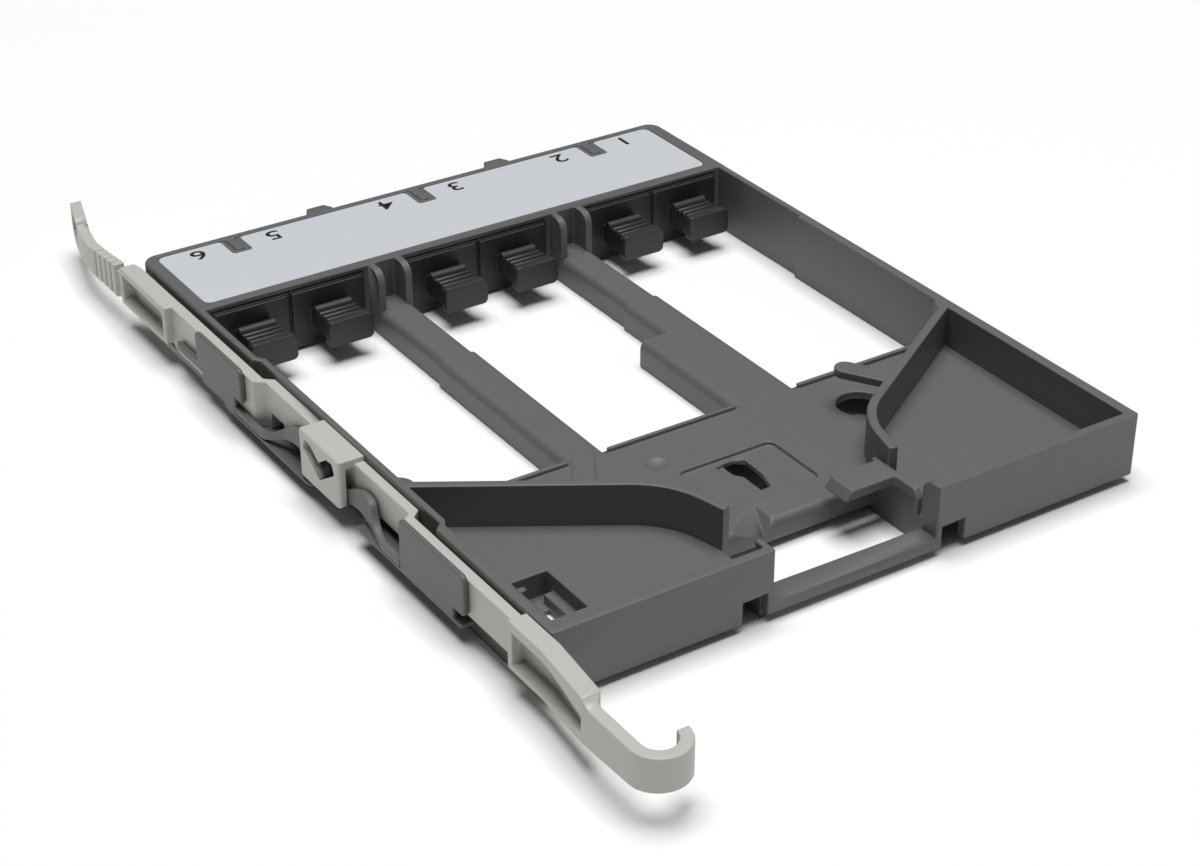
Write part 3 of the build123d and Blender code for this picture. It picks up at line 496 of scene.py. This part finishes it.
def is_inside(point, starts, ends):
    """Whether a line from the point along +X crosses the outline's edges an odd number of times."""
    spans = (starts[:, 1] > point.y) != (ends[:, 1] > point.y)
    first, last = starts[spans], ends[spans]
    share = (point.y - first[:, 1]) / (last[:, 1] - first[:, 1])
    crossings = first[:, 0] + share * (last[:, 0] - first[:, 0])
    return np.count_nonzero(crossings > point.x) % 2 == 1


def cut_flat(work, region, normal):
    """Replaces a flat region by triangles that fit its outline, which may have holes.

    The outline is put into the plane's own two directions and triangulated with its edges kept.
    A triangle stays if its middle is inside the outline.
    """
    across = normal.orthogonal().normalized()
    along = normal.cross(across)
    inner = set(region)
    outline = [
        edge for face in region for edge in face.edges
        if len(edge.link_faces) != 2 or not inner.issuperset(edge.link_faces)
    ]
    verts = list(dict.fromkeys(vert for edge in outline for vert in edge.verts))
    index_of = {vert: index for index, vert in enumerate(verts)}
    base = verts[0].co.copy()
    flat = [
        Vector(((vert.co - base).dot(across), (vert.co - base).dot(along))) / MM
        for vert in verts
    ]
    pairs = [(index_of[edge.verts[0]], index_of[edge.verts[1]]) for edge in outline]
    points, _, triangles, sources, _, _ = delaunay_2d_cdt(
        flat, pairs, [], INSIDE_EDGES, SAME_PLACE
    )
    bmesh.ops.delete(work, geom=region, context="FACES_KEEP_BOUNDARY")
    corners = [
        verts[source[0]] if source
        else work.verts.new(base + (across * point.x + along * point.y) * MM)
        for point, source in zip(points, sources)
    ]
    starts = np.array([flat[first] for first, _ in pairs])
    ends = np.array([flat[second] for _, second in pairs])
    for triangle in triangles:
        middle = sum((points[index] for index in triangle), Vector((0, 0))) / 3
        three = [corners[index] for index in triangle]
        if len(set(three)) < 3 or not is_inside(middle, starts, ends):
            continue
        if work.faces.get(three) is None:
            work.faces.new(three).smooth = True


def cut_flats_afresh(work):
    """Cuts the flat regions into triangles, as the rounds moved their outlines over diagonals."""
    work.normal_update()
    for seed in [face for face in work.faces if len(face.verts) > LARGEST_CUT]:
        if seed.is_valid:
            cut_flat(work, flat_region(seed), seed.normal.copy())


# Pieces

LEAF_RADIUS_SHARE = 0.8  # the leaf spring's edges are finer than the tray's
HOOK_RADIUS_MM = 0.08
LABEL_RADIUS_MM = 0.04
DIGIT_SHARE = 0.7  # height of a digit over the size of the built-in font
STROKE_GROWTH_MM = 0.05  # by which each stroke's outline is moved out
HALF_INK_MM = 0.004  # half the thickness of the print
DIGIT_WIDENING = 1.25


def round_edges(made, radius):
    """Rounds the sharp edges of an object that holds a solid's loose triangles.

    The triangles are merged and the flat faces joined again. Then each edge that turns sharply
    gets a round of the given radius, or a smaller one where there is less room.
    """
    mesh = made.data
    work = bmesh.new()
    work.from_mesh(mesh)
    bmesh.ops.remove_doubles(work, verts=work.verts, dist=SAME_POINT)
    bmesh.ops.dissolve_limit(
        work, angle_limit=SAME_PLANE, verts=work.verts, edges=work.edges
    )
    skin = BVHTree.FromBMesh(work)
    weigh_edges(work, radius)
    work.to_mesh(mesh)
    work.free()
    mesh.polygons.foreach_set("use_smooth", np.ones(len(mesh.polygons), bool))
    bevel = made.modifiers.new("edge_round", "BEVEL")
    bevel.width = radius
    bevel.segments = ROUND_SEGMENTS
    bevel.limit_method = "WEIGHT"
    bevel.use_clamp_overlap = False
    work = bmesh.new()
    work.from_object(made, bpy.context.evaluated_depsgraph_get())
    made.modifiers.clear()
    settle_strays(work, skin, STRAY_SHARE * radius)
    cut_flats_afresh(work)
    work.to_mesh(mesh)
    work.free()
    shading = made.modifiers.new("flat_stays_flat", "WEIGHTED_NORMAL")
    shading.keep_sharp = True
    shading.weight = LARGEST_FIRST


def rounded_copy(node, name, radius_mm, material):
    """The node's solid with its sharp edges rounded, standing in for the node."""
    mesh = frame["nodes"][node].data.copy()
    made = bpy.data.objects.new(name, mesh)
    bpy.context.scene.collection.objects.link(made)
    round_edges(made, radius_mm * MM)
    mesh.materials.clear()
    mesh.materials.append(material)
    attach(made, frame["nodes"][node]["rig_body"])
    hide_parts(node)


def print_digit(text, place, height_mm, ink):
    """One printed number, lying flat on the label with its foot towards the front edge.

    Its outline is drawn in units of a millimetre and scaled down as a mesh, because the
    thickening of the strokes breaks a very small outline.
    """
    name = f"port_number_{text}"
    curve = bpy.data.curves.new(name, "FONT")
    curve.body = text
    curve.align_x = "CENTER"
    curve.align_y = "CENTER"
    curve.size = height_mm / DIGIT_SHARE
    curve.offset = STROKE_GROWTH_MM
    curve.extrude = HALF_INK_MM
    scratch = bpy.data.objects.new("scratch_text", curve)
    bpy.context.scene.collection.objects.link(scratch)
    depsgraph = bpy.context.evaluated_depsgraph_get()
    mesh = bpy.data.meshes.new_from_object(scratch.evaluated_get(depsgraph))
    bpy.data.objects.remove(scratch)
    scale = Matrix.Diagonal((DIGIT_WIDENING * MM, MM, MM, 1.0))
    mesh.transform(Matrix.Translation(place) @ scale)
    mesh.materials.clear()
    mesh.materials.append(ink)
    made = bpy.data.objects.new(name, mesh)
    bpy.context.scene.collection.objects.link(made)
    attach(made, "tray")


class PACK_OT_tray(bpy.types.Operator):
    """Round and finish the moulded tray"""

    bl_idname = "adapter_pack.tray"
    bl_label = "Tray"

    def execute(self, context):
        settings = context.scene.pack_tray
        plastic = moulded_plastic(
            "spark_eroded_pc_abs", settings.colour,
            grain_mm=0.35, depth_mm=0.02, roughness=0.5, mottle=0.025,
        )
        rounded_copy("frame", "tray", settings.edge_radius, plastic)
        leaf_radius = settings.edge_radius * LEAF_RADIUS_SHARE
        rounded_copy("latch_spring", "spring_leaf", leaf_radius, plastic)
        return {"FINISHED"}


class PACK_OT_bar(bpy.types.Operator):
    """Round and finish the release bar"""

    bl_idname = "adapter_pack.bar"
    bl_label = "Release bar"

    def execute(self, context):
        settings = context.scene.pack_bar
        plastic = moulded_plastic(
            "satin_pbt", settings.colour,
            grain_mm=0.5, depth_mm=0.012, roughness=0.42, mottle=0.015,
        )
        rounded_copy("latch_bar", "release_bar", settings.edge_radius, plastic)
        return {"FINISHED"}


class PACK_OT_adapters(bpy.types.Operator):
    """Round and finish the adapters and their hook inserts"""

    bl_idname = "adapter_pack.adapters"
    bl_label = "Adapters"

    def execute(self, context):
        settings = context.scene.pack_ports
        plastic = moulded_plastic(
            "black_pei", settings.adapter_colour,
            grain_mm=0.4, depth_mm=0.015, roughness=0.45, mottle=0.04,
        )
        for port in range(1, PORT_COUNT + 1):
            rounded_copy(f"adapter_{port}", f"housing_{port}", settings.edge_radius, plastic)
            rounded_copy(f"adapter_hooks_{port}", f"hooks_{port}", HOOK_RADIUS_MM, plastic)
        return {"FINISHED"}


class PACK_OT_plugs(bpy.types.Operator):
    """Round and finish the dust plugs"""

    bl_idname = "adapter_pack.plugs"
    bl_label = "Dust plugs"

    def execute(self, context):
        settings = context.scene.pack_ports
        rubber = moulded_plastic(
            "soft_tpe", settings.plug_colour,
            grain_mm=0.4, depth_mm=0.02, roughness=0.5, mottle=0.04,
        )
        for port in range(1, PORT_COUNT + 1):
            rounded_copy(f"rear_plug_{port}", f"dust_plug_{port}", settings.edge_radius, rubber)
        return {"FINISHED"}


class PACK_OT_label(bpy.types.Operator):
    """Finish the label and print the port numbers on it"""

    bl_idname = "adapter_pack.label"
    bl_label = "Label"

    def execute(self, context):
        settings = context.scene.pack_label
        film = coated_label_film("polyester_film", settings.colour)
        rounded_copy("label", "label_film", LABEL_RADIUS_MM, film)
        ink = printed_ink("thermal_ink", settings.ink)
        low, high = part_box("label")
        row = low.y + settings.digit_row * MM
        for port in range(1, PORT_COUNT + 1):
            near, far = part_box(f"adapter_{port}")
            place = ((near.x + far.x) / 2, row, high.z + HALF_INK_MM * MM)
            print_digit(str(port), place, settings.digit_height, ink)
        return {"FINISHED"}


# Stage

FLOOR_HALF = 2.0
CAMERA_PLACE = Vector((179.26125, 270.9875, 186.0)) * MM
CAMERA_FORWARD = Vector((-0.47120, -0.72001, -0.50947)).normalized()
CAMERA_RIGHT = Vector((-0.83675, 0.54759, 0.0)).normalized()
SENSOR_MM = 36


def lay_floor(colour):
    """A wide square board at the height of the pack's lowest point."""
    level = CAD_BOX[0][2]
    mesh = bpy.data.meshes.new("floor")
    corners = [
        (x * FLOOR_HALF, y * FLOOR_HALF, level) for x, y in ((-1, -1), (1, -1), (1, 1), (-1, 1))
    ]
    mesh.from_pydata(corners, [], [(0, 1, 2, 3)])
    mesh.materials.append(painted_board("painted_board", colour))
    floor = bpy.data.objects.new("floor", mesh)
    bpy.context.scene.collection.objects.link(floor)


def surround_with_white(fill):
    """A world that looks white, but lights the pack only with the strength given as fill.

    Rays from the camera, and those that pass through clear pieces, see strength 1.
    """
    scene = bpy.context.scene
    scene.world = scene.world or bpy.data.worlds.new("studio")
    scene.world.use_nodes = True
    tree = scene.world.node_tree
    tree.nodes.clear()
    white = (1.0, 1.0, 1.0, 1.0)
    path = add_node(tree, "ShaderNodeLightPath")
    seen = add_node(tree, "ShaderNodeMath", {"operation": "MAXIMUM"})
    tree.links.new(path.outputs["Is Camera Ray"], seen.inputs[0])
    tree.links.new(path.outputs["Is Transmission Ray"], seen.inputs[1])
    light = add_node(tree, "ShaderNodeBackground", Color=white, Strength=fill)
    back = add_node(tree, "ShaderNodeBackground", Color=white, Strength=1.0)
    mix = add_node(tree, "ShaderNodeMixShader", Fac=seen.outputs["Value"])
    tree.links.new(light.outputs["Background"], mix.inputs[1])
    tree.links.new(back.outputs["Background"], mix.inputs[2])
    add_node(tree, "ShaderNodeOutputWorld", Surface=mix.outputs["Shader"])


def softbox(name, place, size, power):
    """A square area lamp at a place, facing the pack's origin."""
    data = bpy.data.lights.new(name, "AREA")
    data.shape = "SQUARE"
    data.size = size
    data.energy = power
    made = bpy.data.objects.new(name, data)
    bpy.context.scene.collection.objects.link(made)
    made.location = place
    to_origin = Vector((0, 0, 0)) - Vector(place)
    made.rotation_euler = to_origin.to_track_quat("-Z", "Y").to_euler()


def place_camera(lens):
    """Camera at the photograph's place, turned so that its axes are right, up and backwards."""
    data = bpy.data.cameras.new("studio_camera")
    data.lens = lens
    data.sensor_width = SENSOR_MM
    data.clip_start = 0.01
    data.clip_end = 10
    made = bpy.data.objects.new("studio_camera", data)
    bpy.context.scene.collection.objects.link(made)
    up = CAMERA_RIGHT.cross(CAMERA_FORWARD)
    turn = Matrix((CAMERA_RIGHT, up, -CAMERA_FORWARD)).transposed()
    made.matrix_world = Matrix.Translation(CAMERA_PLACE) @ turn.to_4x4()
    bpy.context.scene.camera = made


class PACK_OT_stage(bpy.types.Operator):
    """Lay the floor and set up the lamps and the camera"""

    bl_idname = "adapter_pack.stage"
    bl_label = "Stage"

    def execute(self, context):
        settings = context.scene.pack_stage
        lay_floor(settings.floor_colour)
        surround_with_white(settings.fill)
        softbox("overhead", place=(0, 0, 1.8), size=1.2, power=settings.key_power)
        softbox("rear_side", place=(-0.5, 0.6, 0.5), size=0.5, power=settings.side_power)
        place_camera(settings.lens)
        context.scene.view_settings.view_transform = "Standard"
        return {"FINISHED"}


# Add-on

STEPS = (
    PACK_OT_tray,
    PACK_OT_bar,
    PACK_OT_adapters,
    PACK_OT_plugs,
    PACK_OT_label,
    PACK_OT_stage,
)
GROUPS = {
    "pack_tray": TraySettings,
    "pack_bar": BarSettings,
    "pack_ports": PortSettings,
    "pack_label": LabelSettings,
    "pack_stage": StageSettings,
}


class PACK_PT_sidebar(bpy.types.Panel):
    """Buttons for each step, and the settings of each group."""

    bl_idname = "PACK_PT_sidebar"
    bl_label = "Adapter pack"
    bl_space_type = "VIEW_3D"
    bl_region_type = "UI"
    bl_category = "Adapter pack"

    def draw(self, context):
        for step in STEPS:
            self.layout.operator(step.bl_idname)
        for name, group in GROUPS.items():
            box = self.layout.box()
            box.label(text=group.__doc__)
            for setting in group.__annotations__:
                box.prop(getattr(context.scene, name), setting)


def register():
    for made in (*GROUPS.values(), *STEPS, PACK_PT_sidebar):
        bpy.utils.register_class(made)
    for name, group in GROUPS.items():
        setattr(bpy.types.Scene, name, bpy.props.PointerProperty(type=group))


def unregister():
    for name in GROUPS:
        delattr(bpy.types.Scene, name)
    for made in (PACK_PT_sidebar, *STEPS, *GROUPS.values()):
        bpy.utils.unregister_class(made)


def main():
    register()
    bpy.ops.adapter_pack.tray()
    bpy.ops.adapter_pack.bar()
    bpy.ops.adapter_pack.adapters()
    bpy.ops.adapter_pack.plugs()
    bpy.ops.adapter_pack.label()
    bpy.ops.adapter_pack.stage()


if __name__ == "__main__":
    main()
